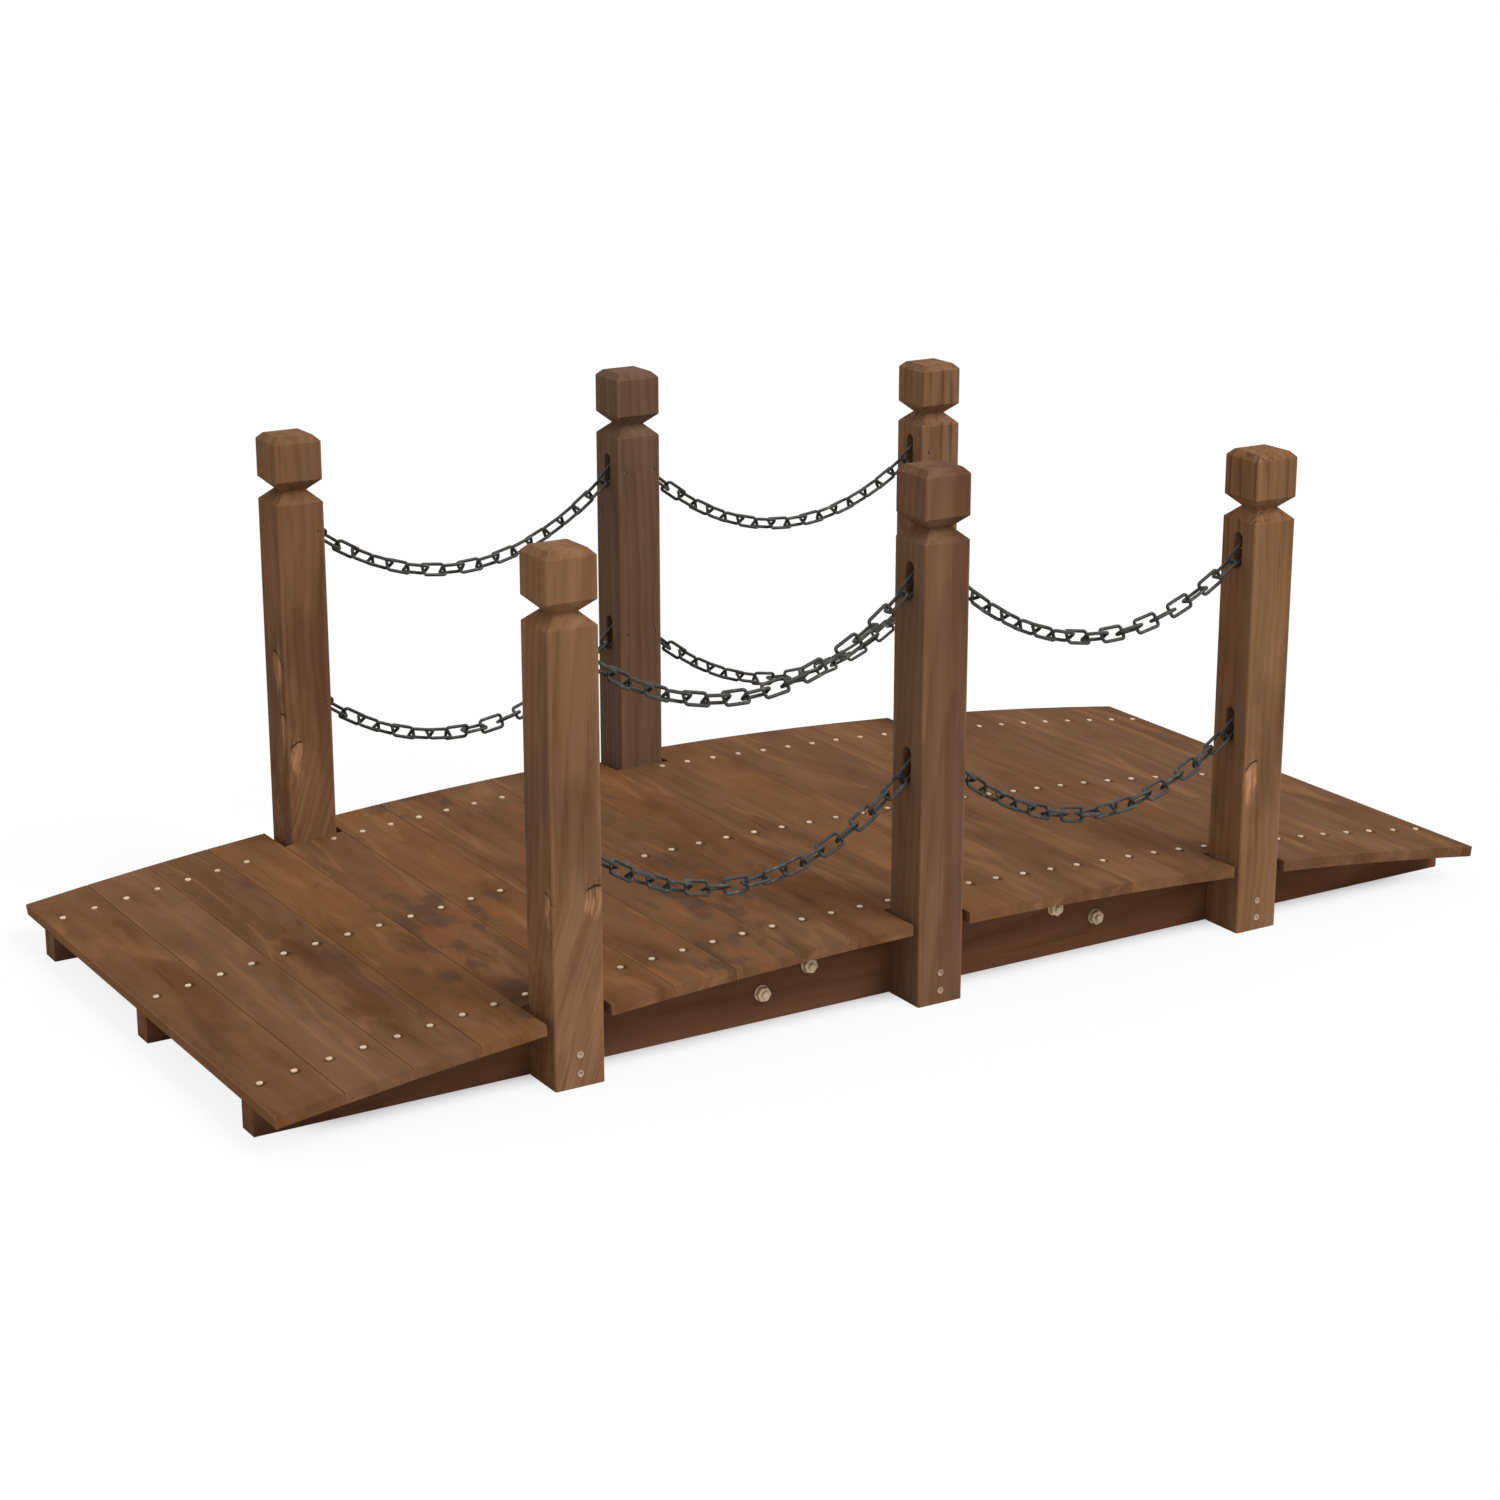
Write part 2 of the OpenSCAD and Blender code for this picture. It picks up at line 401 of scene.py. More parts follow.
def stained_wood(finish, marks, place, seed, light, dark, figure=0.0, scars=()):
    """Softwood grain: returns its colour, roughness and height.

    The place is along the grain, across it and into the piece. Growth rings lie round a pith
    line that differs from piece to piece. Scars push them aside, and paint their cracks dark as
    painted shade, with painted shade above.
    """
    along, across, depth = place
    # Each random number serves twice: it moves the noise or the pith, and it varies the colour.
    tone, hue, richness = finish.chance(seed)
    brightness, thickness, slant = finish.chance(seed + SECOND_DRAW)

    def grain(run, cut, detail, shift, bend=0.0):
        """Noise with run waves a metre along the grain and cut waves a metre across it."""
        return finish.noise(
            along * run + tone * shift,
            (across + bend) * cut + hue * shift,
            (depth + bend) * cut + richness * shift,
            detail)

    wander = grain(run=marks.waves_per_metre, cut=11.0, detail=2.0, shift=31.0)
    bend = wander * marks.waver
    fibre = grain(run=10.0, cut=430.0, detail=2.0, shift=71.0, bend=bend)
    streak = grain(run=1.9, cut=46.0, detail=3.0, shift=53.0, bend=bend)
    blotch = grain(run=8.0, cut=21.0, detail=3.0, shift=91.0, bend=bend)
    check = grain(run=3.4, cut=190.0, detail=1.0, shift=23.0, bend=bend).step(0.18, 0.25)

    # Pale patches, and cracks with their painted shade, summed over the scars
    glow = 0.0
    crack = 0.0
    for patch, line in scars:
        glow = patch + glow
        crack = line + crack

    pith_across = (brightness - 0.5) * PITH_SIDEWAYS
    pith_depth = along * (slant - 0.5) * PITH_SLANT - thickness * PITH_DEEPER - PITH_NEAREST
    side = across - pith_across + wander * (2.2 * marks.waver) + glow * SCAR_PUSH
    deep = depth - pith_depth + wander * 0.02
    radius = (side * side + deep * deep) ** 0.5
    ring = (radius * (1 / marks.ring_width) + fibre * 0.35).math("FRACT")
    late = ring * ring * (1 - ring.step(0.78, 1.0))

    level = 0.60 - late * marks.rings + streak * marks.stripe + blotch * marks.cloud
    level = level + fibre * (figure + 0.24) + (tone - 0.5) * marks.uneven - check * 0.16
    between = [0.5 * (pale + deep_tone) for pale, deep_tone in zip(light, dark)]
    stops = [(0.0, dark), (0.5, between), (1.0, light)]
    colour = finish.node("ShaderNodeValToRGB", {"stops": stops}, {0: level})
    colour = finish.node("ShaderNodeHueSaturation", None, {
        "Hue": 0.5 + (hue - 0.5) * 0.003 + blotch * 0.006,
        "Saturation": 0.975 + (richness - 0.5) * 0.12 - streak * 0.20,
        "Value": 1.0 + (brightness - 0.5) * 0.10,
        "Color": colour})
    if marks.veins:
        vein = grain(run=1.9, cut=21.0, detail=2.0, shift=17.0, bend=bend)
        thin = 1 - abs(vein).step(0.0, 0.030 + thickness * 0.04)
        thin = thin * (blotch + slant * 0.25 - 0.10).step(0.0, 0.12)
        colour = finish.mix(thin * marks.veins, colour, rgba(light, 1.35))
    if scars:
        strand = grain(run=26.0, cut=300.0, detail=2.0, shift=41.0, bend=bend)
        bare = glow * (strand + streak * 0.6).step(-0.26, 0.14)
        colour = finish.mix(bare * 0.85, colour, rgba(light, 1.7))
        # The crack and the shade above it are painted dark: painted shade
        colour = finish.mix(crack * 0.8, colour, rgba(dark, 0.35))
    roughness = 0.72 + late * 0.08 + fibre * 0.20
    height = fibre * 0.9 - late * 0.30 + streak * 0.4 - check * 0.5 - crack * 3.0
    return colour, roughness, height


# Finishes of the bridge's parts

# Middle and reach of the patchy stain, sizes of the worn band with a painted highlight at the seams,
# and of the dirt and painted shadow at the nails
STAIN_X = -0.30
STAIN_REACH = (0.10, 0.34)
SEAM_WEAR_AND_HIGHLIGHT = (0.0032, 0.0005)
GRIME_AND_SHADOW_WIDTH = (0.0030, 0.0075)
# Offset of the nails' painted shadow from each nail, along and across the bridge
NAIL_SHADOW_OFFSET = (0.0015, -0.0010)


def deck_finish(wood):
    """Plank grain runs across the bridge, and each plank differs from its neighbours."""
    finish = new_finish("deck_wood_stained")
    x, y, z = finish.place()

    # The seams are radial, so a point is traced along its radius to the stringers' top.
    radius = (HALF_LENGTH ** 2 + wood.arch_rise ** 2) / (2 * wood.arch_rise)
    up = z + (radius - CROWN)
    reach = (x * x + up * up) ** 0.5
    count = (x / reach * radius + HALF_LENGTH) / PLANK_PITCH
    number = count.math("FLOOR")
    across = (count - number - 0.5) * PLANK_PITCH
    depth = reach - radius
    marks = Marks(
        ring_width=wood.ring_width * 1.25, rings=0.14, cloud=0.74, stripe=0.44, waver=0.055,
        waves_per_metre=3.0, uneven=0.34, veins=0.36)
    colour, roughness, height = stained_wood(
        finish, marks, (y, across, depth), number * 1.31 + 4.2, wood.deck_light, wood.deck_dark)

    # The planks' edges are painted lighter: partly rubbed by feet, partly a painted highlight on
    # their bevels that evens out the shade in the seams.
    rub = finish.noise(x * 11.0, y * 7.0 + 5.3, 0.0, detail=2.0)
    worn_lit_seam = abs(across).step(HALF_PLANK - SEAM_WEAR_AND_HIGHLIGHT[0], HALF_PLANK - SEAM_WEAR_AND_HIGHLIGHT[1])
    worn = worn_lit_seam * (rub + 0.45).step(0.1, 0.7)
    colour = finish.mix(worn * 0.55, colour, rgba(wood.deck_light, 1.15))

    # The stain is patchy, most of all in the left half.
    haze = finish.noise(x * 5.0 + 3.7, y * 4.0, 0.0, detail=1.0)
    flame = finish.noise(
        across * 34.0 + number * 5.1, y * 15.0 + haze * 2.0, number * 2.3, detail=3.0, roughness=0.6)
    zone = (1 - abs(x - STAIN_X).step(*STAIN_REACH)) * 0.8 + 0.2
    red = (flame + haze * 0.5).step(0.04, 0.22) * zone
    colour = finish.mix(red * 0.52, colour, rgba(wood.deck_flame))
    grey = (-flame + haze * 0.5).step(0.06, 0.24) * (zone * 0.52 + 0.16)
    colour = finish.mix(grey, colour, rgba(wood.deck_smoke))

    # Dirt and a painted shadow darken the deck beside the nails: the dark spot is set off to one side
    # of each nail as its shadow. Each half of a plank has one nail in its middle.
    beside = ((count * 2.0).math("FRACT") - 0.5) * HALF_PLANK - NAIL_SHADOW_OFFSET[0]
    for row in (NAIL_ROWS["near"], NAIL_ROWS["middle"]):
        before = y - row - NAIL_SHADOW_OFFSET[1]
        grime_and_shadow = 1 - ((beside * beside + before * before) ** 0.5).step(*GRIME_AND_SHADOW_WIDTH)
        colour = finish.mix(grime_and_shadow * 0.70, colour, rgba(wood.deck_dark, 0.55))
    return finish.surface(colour, roughness, height, **WOOD_SURFACE)


# Sizes of a scar's marks: its crack and the painted shade over it, and its pale patch
SCAR_DEPTH = (0.002, 0.007)
CRACK_WIDTH = 0.0022
CRACK_BOW = 0.004
CRACK_WOBBLE = 0.010
SHADE_ABOVE = 0.003
SHADE_WIDTH = 0.010
PATCH_WOBBLE = 0.030


def scar_masks(spot, x, y, z, wobble):
    """Masks of a scar: its pale patch, and its bowed crack, a line of painted shade, with more
    painted shade over it.
    """
    run_x, run_y = spot.run
    dx = x - spot.place[0]
    dy = y - spot.place[1]
    dz = z - spot.place[2]
    run = dx * run_x + dy * run_y
    near = 1 - abs(dx * run_y - dy * run_x).step(*SCAR_DEPTH)
    reach = run * run * (1 / spot.half_width ** 2)
    inside = (1 - reach.step(0.2, 1.2)) * near
    above = dz - run * spot.slope + reach * CRACK_BOW + wobble * CRACK_WOBBLE
    line = (1 - abs(above).step(0.0, CRACK_WIDTH)) * inside
    shade = (1 - abs(above - SHADE_ABOVE).step(0.0, SHADE_WIDTH)) * inside
    low = (dz + 0.5 * spot.drop) / spot.drop + wobble * 0.5
    side = run + wobble * PATCH_WOBBLE
    oval = side * side * (1 / (0.9 * spot.half_width) ** 2) + low * low
    patch = (1 - oval.step(0.0, 1.1)) * near
    return patch, line + shade * 0.30


# Heights of the marks on the posts, and width of the lighter corners, worn and with a painted
# highlight
LEAN_TOP = 0.19
FOOT_TOP = 0.21
SCAR_HEIGHT = 0.26
STREAK_BOTTOM = 0.34
CORNER_WEAR_AND_HIGHLIGHT = 0.0035


def post_finish(wood):
    """Post grain runs upright. The end posts carry a scar or two, and the middle posts are darker."""
    finish = new_finish("post_wood_stained")
    x, y, z = finish.place()
    bay = (x / POST_X + 0.5).math("FLOOR")
    far = y > 0.0
    across = x - bay * POST_X
    depth = y - (far * 2.0 - 1.0) * POST_Y
    wobble = finish.noise(x * 70.0, y * 70.0, z * 34.0, detail=3.0)
    scars = [scar_masks(spot, x, y, z, wobble) for spot in SCARS]

    # The grain leans and shows more at the feet of the left posts.
    left_end = bay < -0.5
    foot = (FOOT_TOP - z).step(0.0, 0.10) * left_end
    lean = (LEAN_TOP - z).math("MAXIMUM", 0.0) * left_end * 0.34
    marks = Marks(ring_width=wood.ring_width, rings=0.24, stripe=0.78, waver=0.013)
    colour, roughness, height = stained_wood(
        finish, marks, (z, across + lean, depth), (bay * 2.0 + far) * 1.77 + 9.1,
        wood.post_light, wood.post_dark, figure=foot * 0.55, scars=scars)

    smoke = finish.noise(x * 30.0, y * 30.0, z * 9.0 + bay * 3.1, detail=3.0) + 0.16
    smoke = (smoke - abs(z - SCAR_HEIGHT) * 1.1).step(0.0, 0.22)
    colour = finish.mix(smoke * abs(bay), colour, rgba(wood.post_smoke), "MULTIPLY")

    streak = finish.noise(
        across * 190.0 + far * 7.3, depth * 190.0, z * 5.0 + across * 30.0, detail=3.0)
    top = (z - STREAK_BOTTOM).step(0.0, 0.14) * (bay > 0.5)
    colour = finish.mix(streak.step(0.03, 0.15) * top * 0.6, colour, rgba(wood.post_streak))

    middle = 1 - abs(bay)
    colour = finish.mix(middle, colour, rgba(wood.middle_tint), "MULTIPLY")
    sway = finish.noise(across * 60.0, depth * 30.0 + far * 2.6, z * 3.0, detail=2.0)
    band = (across + sway * 0.045).step(-0.004, 0.016) * (0.9 - far * 0.5)
    colour = finish.mix(band * middle, colour, rgba(wood.middle_band), "MULTIPLY")

    # The corners are painted lighter: partly worn, partly a painted highlight along the edges
    corner_wobble = finish.noise(x * 40.0, y * 40.0, z * 14.0, detail=3.0)
    corner = abs(across).math("MINIMUM", abs(depth)) + corner_wobble * 0.006
    corner = corner.step(HALF_POST - CORNER_WEAR_AND_HIGHLIGHT, HALF_POST)
    colour = finish.mix(corner * 0.45, colour, rgba(wood.post_light, 1.15))
    return finish.surface(colour, roughness, height, **WOOD_SURFACE)


# A stringer board's random numbers follow from its Y, in steps, and from its half of the bridge
BOARD_STEP = 0.020
RIGHT_HALF = 40.0


def stringer_finish(wood):
    """Stringer grain runs along the bridge."""
    finish = new_finish("stringer_wood_stained")
    x, y, z = finish.place()
    number = (y / BOARD_STEP).math("FLOOR") + (x > 0.0) * RIGHT_HALF
    colour, roughness, height = stained_wood(
        finish, Marks(ring_width=wood.ring_width), (x, z, y), number * 1.13 + 2.9,
        wood.stringer_light, wood.stringer_dark)
    return finish.surface(colour, roughness, height, **WOOD_SURFACE)


def chain_finish(fasteners):
    """Blackened steel wire, rubbed a little lighter in places."""
    finish = new_finish("chain_steel_blackened")
    x, y, z = finish.place()
    rub = finish.noise(x * 160.0, y * 160.0, z * 160.0, detail=3.0)
    grit = finish.noise(x * 1400.0, y * 1400.0, z * 1400.0, detail=2.0)
    worn = (rub + grit * 0.4).step(0.02, 0.22)
    colour = finish.mix(worn, rgba(fasteners.chain), rgba(fasteners.chain, 2.6))
    roughness = 0.50 - worn * 0.10 + grit * 0.3
    return finish.surface(colour, roughness, grit, bump=0.2, depth=0.0003, Metallic=0.35)


def zinc_finish(name, plate):
    """Plated steel with a dull bloom that differs from head to head."""
    finish = new_finish(f"zinc_steel_{name}")
    x, y, z = finish.place()
    bloom = finish.noise(x * 90.0, y * 90.0, z * 90.0, detail=3.0)
    grit = finish.noise(x * 1100.0, y * 1100.0, z * 1100.0, detail=2.0)
    tarnish = finish.noise(x * 31.0, y * 19.0, z * 31.0, detail=1.0)
    dull = (bloom + tarnish * 1.2 + 0.45).step(0.3, 0.9)
    colour = finish.mix(dull, rgba(plate), rgba(plate, 0.60))
    roughness = 0.42 + bloom * 0.3 + grit * 0.3
    return finish.surface(colour, roughness, grit, bump=0.25, depth=0.0003, Metallic=0.15)


def dress(names, material):
    """Puts a material in the slots of CAD nodes."""
    for name in names:
        slots = NODES[name].material_slots
        if not slots:
            raise RuntimeError(f"{name} has no material slot")
        for slot in slots:
            slot.material = material


# Modelling helpers

FACING = 0.9
TINY = 1e-5
ROUND_EDGE = math.radians(40)


def faces_up(centre, normal):
    """Whether a face looks along +Z."""
    return normal.z > FACING


def begin(name):
    """Takes the primitive just added into edit mode, by faces."""
    bpy.context.object.name = name
    bpy.ops.object.mode_set(mode="EDIT")
    bpy.ops.mesh.select_mode(type="FACE")


def pick(test):
    """Selects the faces whose centre and normal pass a test."""
    mesh = bmesh.from_edit_mesh(bpy.context.object.data)
    bpy.ops.mesh.select_all(action="DESELECT")
    for face in mesh.faces:
        face.select_set(test(face.calc_center_median(), face.normal))
    bmesh.update_edit_mesh(bpy.context.object.data)


def begin_disc(name, sides, radius, bottom, top):
    """Adds a cylinder on the Z axis and opens it for editing, with its top face selected."""
    bpy.ops.object.select_all(action="DESELECT")
    bpy.ops.mesh.primitive_cylinder_add(
        vertices=sides, radius=radius, depth=top - bottom, location=(0, 0, (bottom + top) / 2))
    begin(name)
    pick(faces_up)


def end():
    """Leaves edit mode and returns the shaped object, smooth where it is round."""
    bpy.ops.object.mode_set(mode="OBJECT")
    piece = bpy.context.object
    bpy.ops.object.transform_apply(location=True, rotation=True, scale=True)
    bpy.ops.object.shade_smooth_by_angle(angle=ROUND_EDGE)
    return piece


def joined(name, models):
    """Joins several objects into the first of them and names it."""
    bpy.ops.object.select_all(action="DESELECT")
    for model in models:
        model.select_set(True)
    bpy.context.view_layer.objects.active = models[0]
    bpy.ops.object.join()
    made = bpy.context.object
    made.name = name
    made.data.name = name
    return made


def spread(name, model, places, material):
    """Copies a model to its places as one piece that rides with the bridge."""
    copies = []
    for place in places:
        piece = bpy.data.objects.new(name, model.data.copy())
        piece.data.transform(place)
        bpy.context.scene.collection.objects.link(piece)
        copies.append(piece)
    bpy.data.objects.remove(model)
    made = joined(name, copies)
    made.data.materials.clear()
    made.data.materials.append(material)
    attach(made, "root")
    return made


def facing(place, normal, turn=0.0):
    """The matrix that stands a model on a surface, its Z along the normal."""
    stand = Vector(normal).to_track_quat("Z", "Y").to_matrix().to_4x4()
    return Matrix.Translation(place) @ stand @ Matrix.Rotation(turn, 4, "Z")


def plank_top(name):
    """Middle of a plank's top face, its normal, and its direction along the bridge."""
    mesh = NODES[name].data
    upper = [face for face in mesh.polygons if face.normal.z > FACING]
    normal = max(upper, key=lambda face: face.area).normal.copy()
    level = [face for face in mesh.polygons if face.normal.dot(normal) > 0.9999]
    corners = [mesh.vertices[corner].co for face in level for corner in face.vertices]
    run = Vector((normal.z, 0, -normal.x))
    reach = [corner.dot(run) for corner in corners]
    middle = corners[0] + run * ((min(reach) + max(reach)) / 2 - corners[0].dot(run))
    middle.y = 0
    return middle, normal, run


# Operators

class FOOTBRIDGE_OT_deck(bpy.types.Operator):
    """Finish the deck planks in stained wood"""

    bl_idname = "footbridge.deck"
    bl_label = "Deck Planks"

    def execute(self, context):
        dress(PLANKS, deck_finish(context.scene.footbridge_wood))
        return {"FINISHED"}


class FOOTBRIDGE_OT_posts(bpy.types.Operator):
    """Finish the six posts in stained wood"""

    bl_idname = "footbridge.posts"
    bl_label = "Posts"

    def execute(self, context):
        dress(POSTS, post_finish(context.scene.footbridge_wood))
        return {"FINISHED"}


class FOOTBRIDGE_OT_stringers(bpy.types.Operator):
    """Finish the stringers and their splice boards in stained wood"""

    bl_idname = "footbridge.stringers"
    bl_label = "Stringers and Splices"

    def execute(self, context):
        dress(STRINGERS, stringer_finish(context.scene.footbridge_wood))
        return {"FINISHED"}


class FOOTBRIDGE_OT_chains(bpy.types.Operator):
    """Finish the chains in blackened steel and their pins in zinc"""

    bl_idname = "footbridge.chains"
    bl_label = "Chains and Pins"

    def execute(self, context):
        fasteners = context.scene.footbridge_fasteners
        dress(CHAINS, chain_finish(fasteners))
        dress(["chain_pins"], zinc_finish("pins", [0.5 * part for part in fasteners.screw]))
        return {"FINISHED"}


# How far a nail sits off its spot, along and across the bridge, and how far it leans
NAIL_SLIP = (0.0012, 0.0014)
NAIL_LEAN = (0.05, 0.06)


def shake(nail, row, rate, shift):
    """A fixed number from -1 to 1 that differs from nail to nail."""
    return math.sin(nail * rate + row * shift)


def nail_places():
    """Two nails a plank in each row, each a little off its spot and a little crooked."""
    places = []
    for row, (side, y) in enumerate(NAIL_ROWS.items()):
        for number, name in enumerate(PLANKS):
            middle, normal, run = plank_top(name)
            for half in (0, 1):
                nail = 2 * number + half + 1
                if side == "far" and nail in BARE_FAR_NAILS:
                    continue
                swing = shake(nail, row, 12.9898, 78.233)
                place = middle + run * ((half - 0.5) * HALF_PLANK + NAIL_SLIP[0] * swing)
                place.y = y + NAIL_SLIP[1] * shake(nail, row, 7.13, 3.7)
                lean = Vector((NAIL_LEAN[0] * swing, NAIL_LEAN[1] * shake(nail, row, 3.1, 1.0), 0))
                places.append(facing(place, normal + lean, nail * 1.7))
    return places


class FOOTBRIDGE_OT_nails(bpy.types.Operator):
    """Drive two nails per plank into each of the three stringers"""

    bl_idname = "footbridge.nails"
    bl_label = "Deck Nails"

    def execute(self, context):
        fasteners = context.scene.footbridge_fasteners
        radius = fasteners.nail_width / 2
        rise = fasteners.nail_rise
        begin_disc("deck_nails", 10, radius, -0.4 * rise, 0.6 * rise)
        bpy.ops.mesh.inset(thickness=0.22 * radius, depth=0.26 * rise)
        bpy.ops.mesh.inset(thickness=0.38 * radius, depth=0.12 * rise)
        model = end()
        spread("deck_nails", model, nail_places(), zinc_finish("nails", fasteners.nail))
        return {"FINISHED"}


def screw_cross(radius, thickness, height):
    """The cutter of a screw head's cross recess: a square bar with four arms."""
    bpy.ops.object.select_all(action="DESELECT")
    bpy.ops.mesh.primitive_cube_add(size=1, location=(0, 0, height))
    begin("screw_cross")
    bpy.ops.transform.resize(value=(0.30 * radius, 0.30 * radius, thickness))
    arm = 0.45 * radius
    for x, y in ((1, 0), (-1, 0), (0, 1), (0, -1)):
        out = Vector((x, y, 0))
        across = Vector((y, x, 0))
        pick(lambda centre, normal: normal.dot(out) > FACING and abs(centre.dot(across)) < TINY)
        bpy.ops.mesh.extrude_region_move(TRANSFORM_OT_translate={"value": arm * out})
    return end()


def screw_places():
    """Two screws on the middle line of each post's outer face."""
    places = []
    for name in POSTS:
        low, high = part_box(name)
        outward = 1 if low.y > 0 else -1
        for step, height in enumerate(SCREW_HEIGHTS):
            place = Vector(((low.x + high.x) / 2, outward * POST_FACE, height))
            places.append(facing(place, (0, outward, 0), 0.6 + step * 1.1 + low.x * 5))
    return places


class FOOTBRIDGE_OT_screws(bpy.types.Operator):
    """Set two cross-head screws in the foot of each post"""

    bl_idname = "footbridge.screws"
    bl_label = "Post Screws"

    def execute(self, context):
        fasteners = context.scene.footbridge_fasteners
        radius = fasteners.screw_width / 2
        half_head = 0.0006
        begin_disc("post_screws", 20, radius, -half_head, half_head)
        bpy.ops.mesh.inset(thickness=0.16 * radius, depth=0.0001)
        model = end()
        cross = screw_cross(radius, thickness=0.0014, height=0.0008)
        cut = model.modifiers.new("cross", "BOOLEAN")
        cut.operation = "DIFFERENCE"
        cut.solver = "EXACT"
        cut.object = cross
        bpy.ops.object.select_all(action="DESELECT")
        bpy.context.view_layer.objects.active = model
        bpy.ops.object.modifier_apply(modifier=cut.name)
        bpy.data.objects.remove(cross)
        spread("post_screws", model, screw_places(), zinc_finish("screws", fasteners.screw))
        return {"FINISHED"}


def splice_nut(flat):
    """A washer, a nut and the bolt's end that stands out of it."""
    washer_top = 0.0016
    nut_bottom = 0.0014
    nut_top = 0.0076
    bolt_bottom = 0.0042
    bolt_top = 0.0102
    begin_disc("washer", 24, 0.60 * flat, 0.0, washer_top)
    bpy.ops.mesh.inset(thickness=0.0006, depth=0.0003)
    washer = end()
    begin_disc("nut", 6, flat / math.sqrt(3), nut_bottom, nut_top)
    pick(lambda centre, normal: abs(normal.z) > FACING)
    bpy.ops.mesh.bevel(offset=0.0009, segments=2, affect="EDGES")
    nut = end()
    begin_disc("bolt_end", 16, 0.29 * flat, bolt_bottom, bolt_top)
    bpy.ops.mesh.inset(thickness=0.0008, depth=0.0007)
    bpy.ops.mesh.inset(thickness=0.0012, depth=0.0003)
    return joined("splice_nuts", [washer, nut, end()])


def splice_bolt_head(flat):
    """The domed head of a coach bolt."""
    rim = 0.001
    begin_disc("splice_bolt_heads", 20, 0.62 * flat, 0.0, rim)
    for thickness, depth in ((0.10, 0.11), (0.16, 0.08), (0.18, 0.045)):
        bpy.ops.mesh.inset(thickness=thickness * flat, depth=depth * flat)
    return end()


class FOOTBRIDGE_OT_bolts(bpy.types.Operator):
    """Bolt the splice boards to the stringer halves"""

    bl_idname = "footbridge.bolts"
    bl_label = "Splice Bolts"

    def execute(self, context):
        fasteners = context.scene.footbridge_fasteners
        nut = splice_nut(fasteners.nut_width)
        head = splice_bolt_head(fasteners.nut_width)
        nuts = []
        heads = []
        for side in ("near", "middle", "far"):
            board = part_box(f"{side}_splice")
            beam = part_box(f"{side}_stringer_left")
            outward = 1 if side == "far" else -1
            nut_y = beam[1].y if outward > 0 else beam[0].y
            head_y = board[0].y if outward > 0 else board[1].y
            for step, (x, z) in enumerate(BOLT_SPOTS):
                nuts.append(facing((x, nut_y, z), (0, outward, 0), 0.5 + step * 0.8))
                heads.append(facing((x, head_y, z), (0, -outward, 0)))
        zinc = zinc_finish("bolts", fasteners.bolt)
        spread("splice_nuts", nut, nuts, zinc)
        spread("splice_bolt_heads", head, heads, zinc)
        return {"FINISHED"}


# The floor, its glow for the camera, the edge of the part under the bridge, and the lamp
FLOOR_SIZE = 60
FLOOR_DROP = 0.0006
FLOOR_GREY = (0.58, 0.58, 0.58, 1.0)
FLOOR_GLOW = 1.15
GLOW_SHARE = 0.75
UNDER_EDGE = (0.10, 0.02)
KEY_DIRECTION = (-0.335, 0.580, -0.743)
KEY_SPREAD = math.radians(32)
SENSOR_WIDTH = 36


def floor_finish():
    """White to the camera, with the bridge's shadow, and plain grey paint under the bridge."""
    finish = new_finish("floor_white")
    x, y, _ = finish.place()
    under = 1.0
    for place, half in ((x, CAD_BOX[1].x), (y, CAD_BOX[1].y)):
        under = (1 - abs(place).step(half - UNDER_EDGE[0], half - UNDER_EDGE[1])) * under
    matte = finish.node("ShaderNodeBsdfDiffuse", None, {"Color": FLOOR_GREY})
    glow = finish.node("ShaderNodeEmission", None, {"Color": WHITE, "Strength": FLOOR_GLOW})
    share = finish.in_sight() * (1 - under) * GLOW_SHARE
    both = finish.node("ShaderNodeMixShader", None, {0: share, 1: matte, 2: glow})
    finish.node("ShaderNodeOutputMaterial", None, {"Surface": both})
    return finish.owner


def studio_world(fill):
    """Even light from all sides that looks white itself."""
    sky = Finish(bpy.data.worlds.new("studio"))
    soft = sky.node("ShaderNodeBackground", None, {"Color": WHITE, "Strength": fill})
    white = sky.node("ShaderNodeBackground", None, {"Color": WHITE, "Strength": 1.0})
    both = sky.node("ShaderNodeMixShader", None, {0: sky.in_sight(), 1: soft, 2: white})
    sky.node("ShaderNodeOutputWorld", None, {"Surface": both})
    return sky.owner


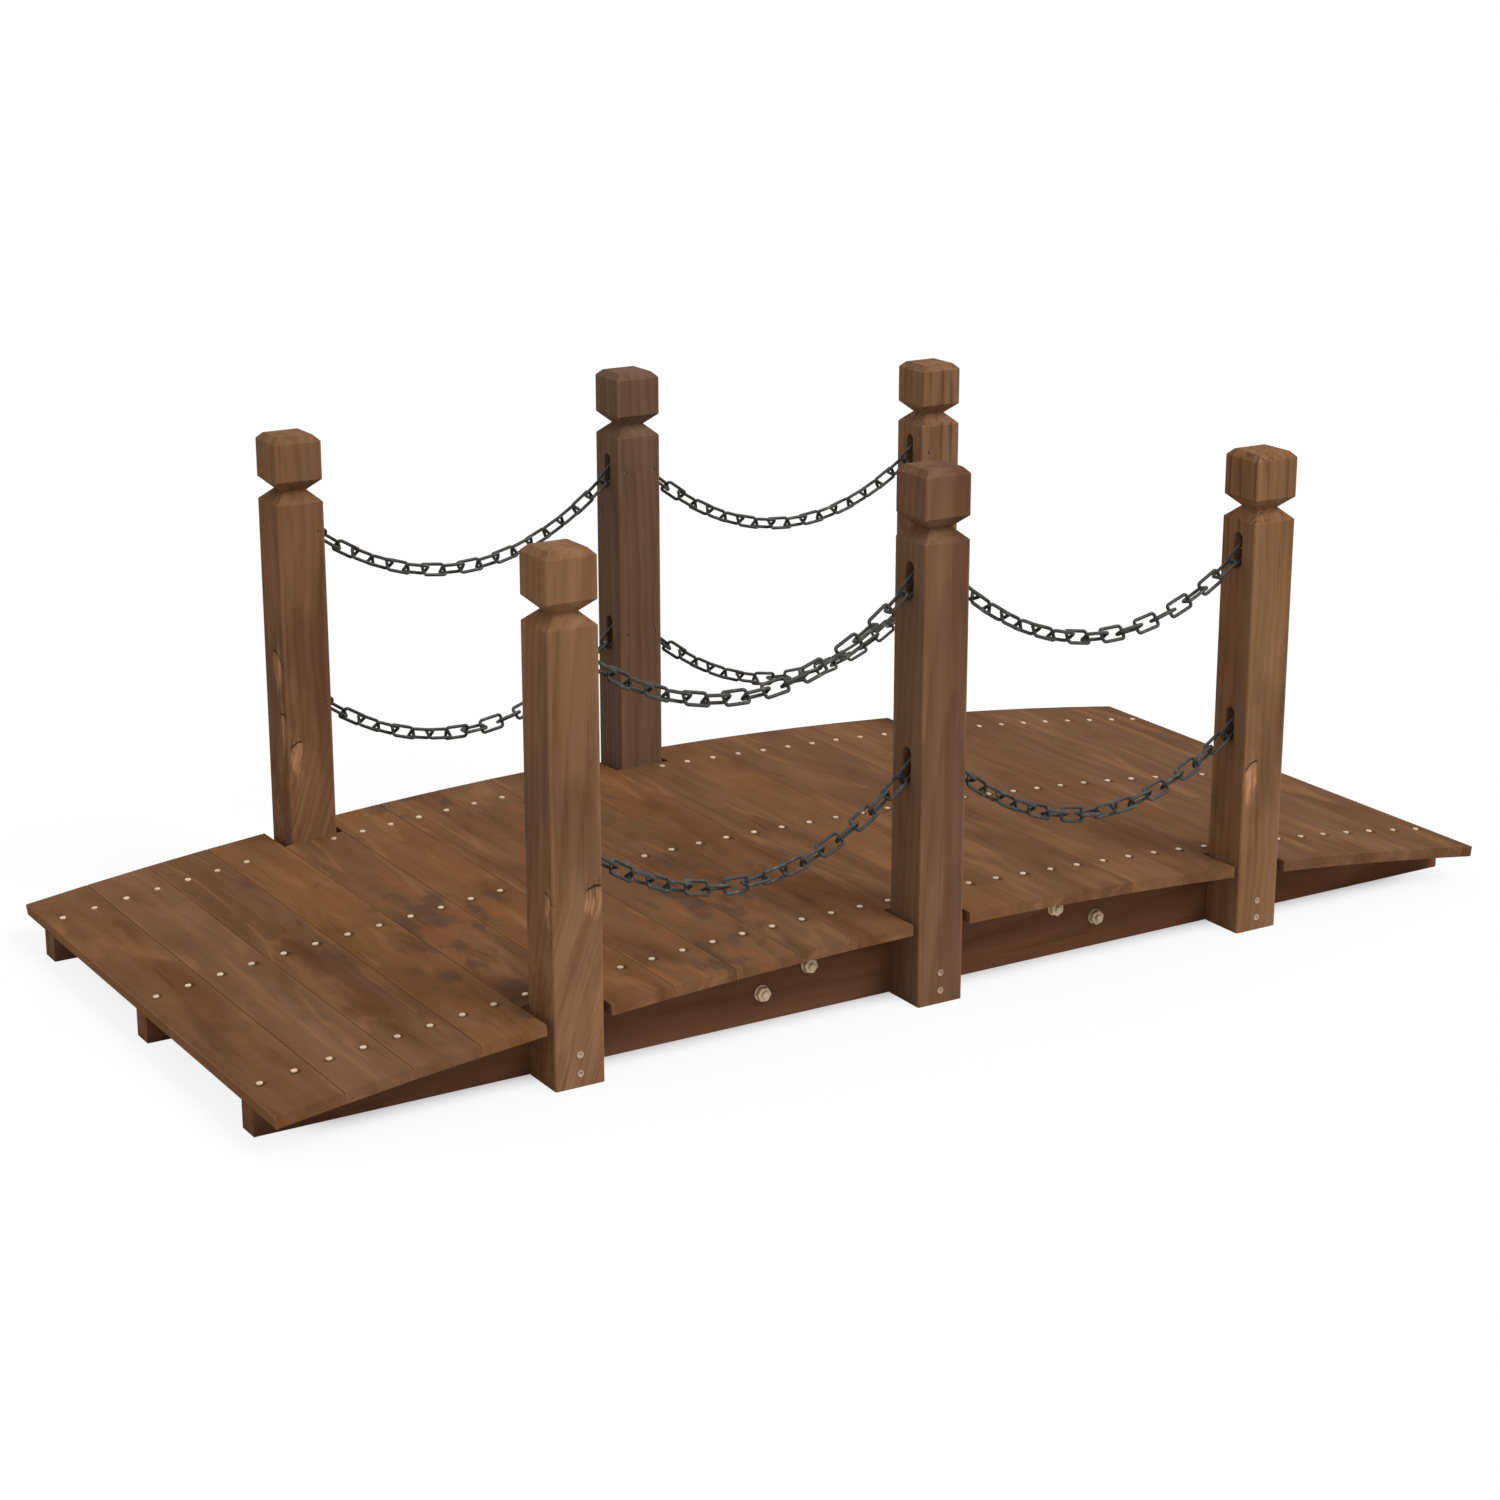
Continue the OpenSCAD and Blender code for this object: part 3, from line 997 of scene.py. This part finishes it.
class FOOTBRIDGE_OT_stage(bpy.types.Operator):
    """Set up the floor, the lights and the camera"""

    bl_idname = "footbridge.stage"
    bl_label = "Stage"

    def execute(self, context):
        scene = context.scene
        stage = scene.footbridge_stage
        bpy.ops.object.select_all(action="DESELECT")
        bpy.ops.mesh.primitive_plane_add(size=FLOOR_SIZE, location=(0, 0, -FLOOR_DROP))
        floor = context.object
        floor.name = "floor"
        floor.data.materials.append(floor_finish())
        scene.world = studio_world(stage.fill)

        lamp = bpy.data.lights.new("key", "SUN")
        lamp.energy = stage.key
        lamp.angle = KEY_SPREAD
        key = bpy.data.objects.new("key", lamp)
        key.rotation_mode = "QUATERNION"
        key.rotation_quaternion = Vector(KEY_DIRECTION).to_track_quat("-Z", "Y")
        scene.collection.objects.link(key)

        lens = bpy.data.cameras.new("camera")
        lens.lens = stage.lens
        lens.sensor_width = SENSOR_WIDTH
        lens.clip_start = 0.05
        lens.clip_end = 200
        camera = bpy.data.objects.new("camera", lens)
        camera.location = stage.camera_place
        camera.rotation_euler = stage.camera_turn
        scene.collection.objects.link(camera)
        scene.camera = camera
        scene.view_settings.view_transform = "Standard"
        return {"FINISHED"}


class FOOTBRIDGE_PT_panel(bpy.types.Panel):
    """Steps that finish the footbridge"""

    bl_idname = "FOOTBRIDGE_PT_panel"
    bl_label = "Garden Footbridge"
    bl_space_type = "VIEW_3D"
    bl_region_type = "UI"
    bl_category = "Footbridge"

    def draw(self, context):
        layout = self.layout
        for group in SETTINGS:
            settings = getattr(context.scene, group)
            box = layout.box()
            for name in settings.__annotations__:
                box.prop(settings, name)
        for step in STEPS:
            layout.operator(step.bl_idname)


SETTINGS = {
    "footbridge_wood": WoodSettings,
    "footbridge_fasteners": FastenerSettings,
    "footbridge_stage": StageSettings,
}
STEPS = (
    FOOTBRIDGE_OT_stage, FOOTBRIDGE_OT_deck, FOOTBRIDGE_OT_posts, FOOTBRIDGE_OT_stringers,
    FOOTBRIDGE_OT_chains, FOOTBRIDGE_OT_nails, FOOTBRIDGE_OT_screws, FOOTBRIDGE_OT_bolts,
)
CLASSES = (*SETTINGS.values(), *STEPS, FOOTBRIDGE_PT_panel)


def register():
    for kind in CLASSES:
        bpy.utils.register_class(kind)
    for name, group in SETTINGS.items():
        setattr(bpy.types.Scene, name, PointerProperty(type=group))


def unregister():
    for name in SETTINGS:
        delattr(bpy.types.Scene, name)
    for kind in reversed(CLASSES):
        bpy.utils.unregister_class(kind)


def main():
    register()
    bpy.ops.footbridge.stage()
    bpy.ops.footbridge.deck()
    bpy.ops.footbridge.posts()
    bpy.ops.footbridge.stringers()
    bpy.ops.footbridge.chains()
    bpy.ops.footbridge.nails()
    bpy.ops.footbridge.screws()
    bpy.ops.footbridge.bolts()


if __name__ == "__main__":
    main()
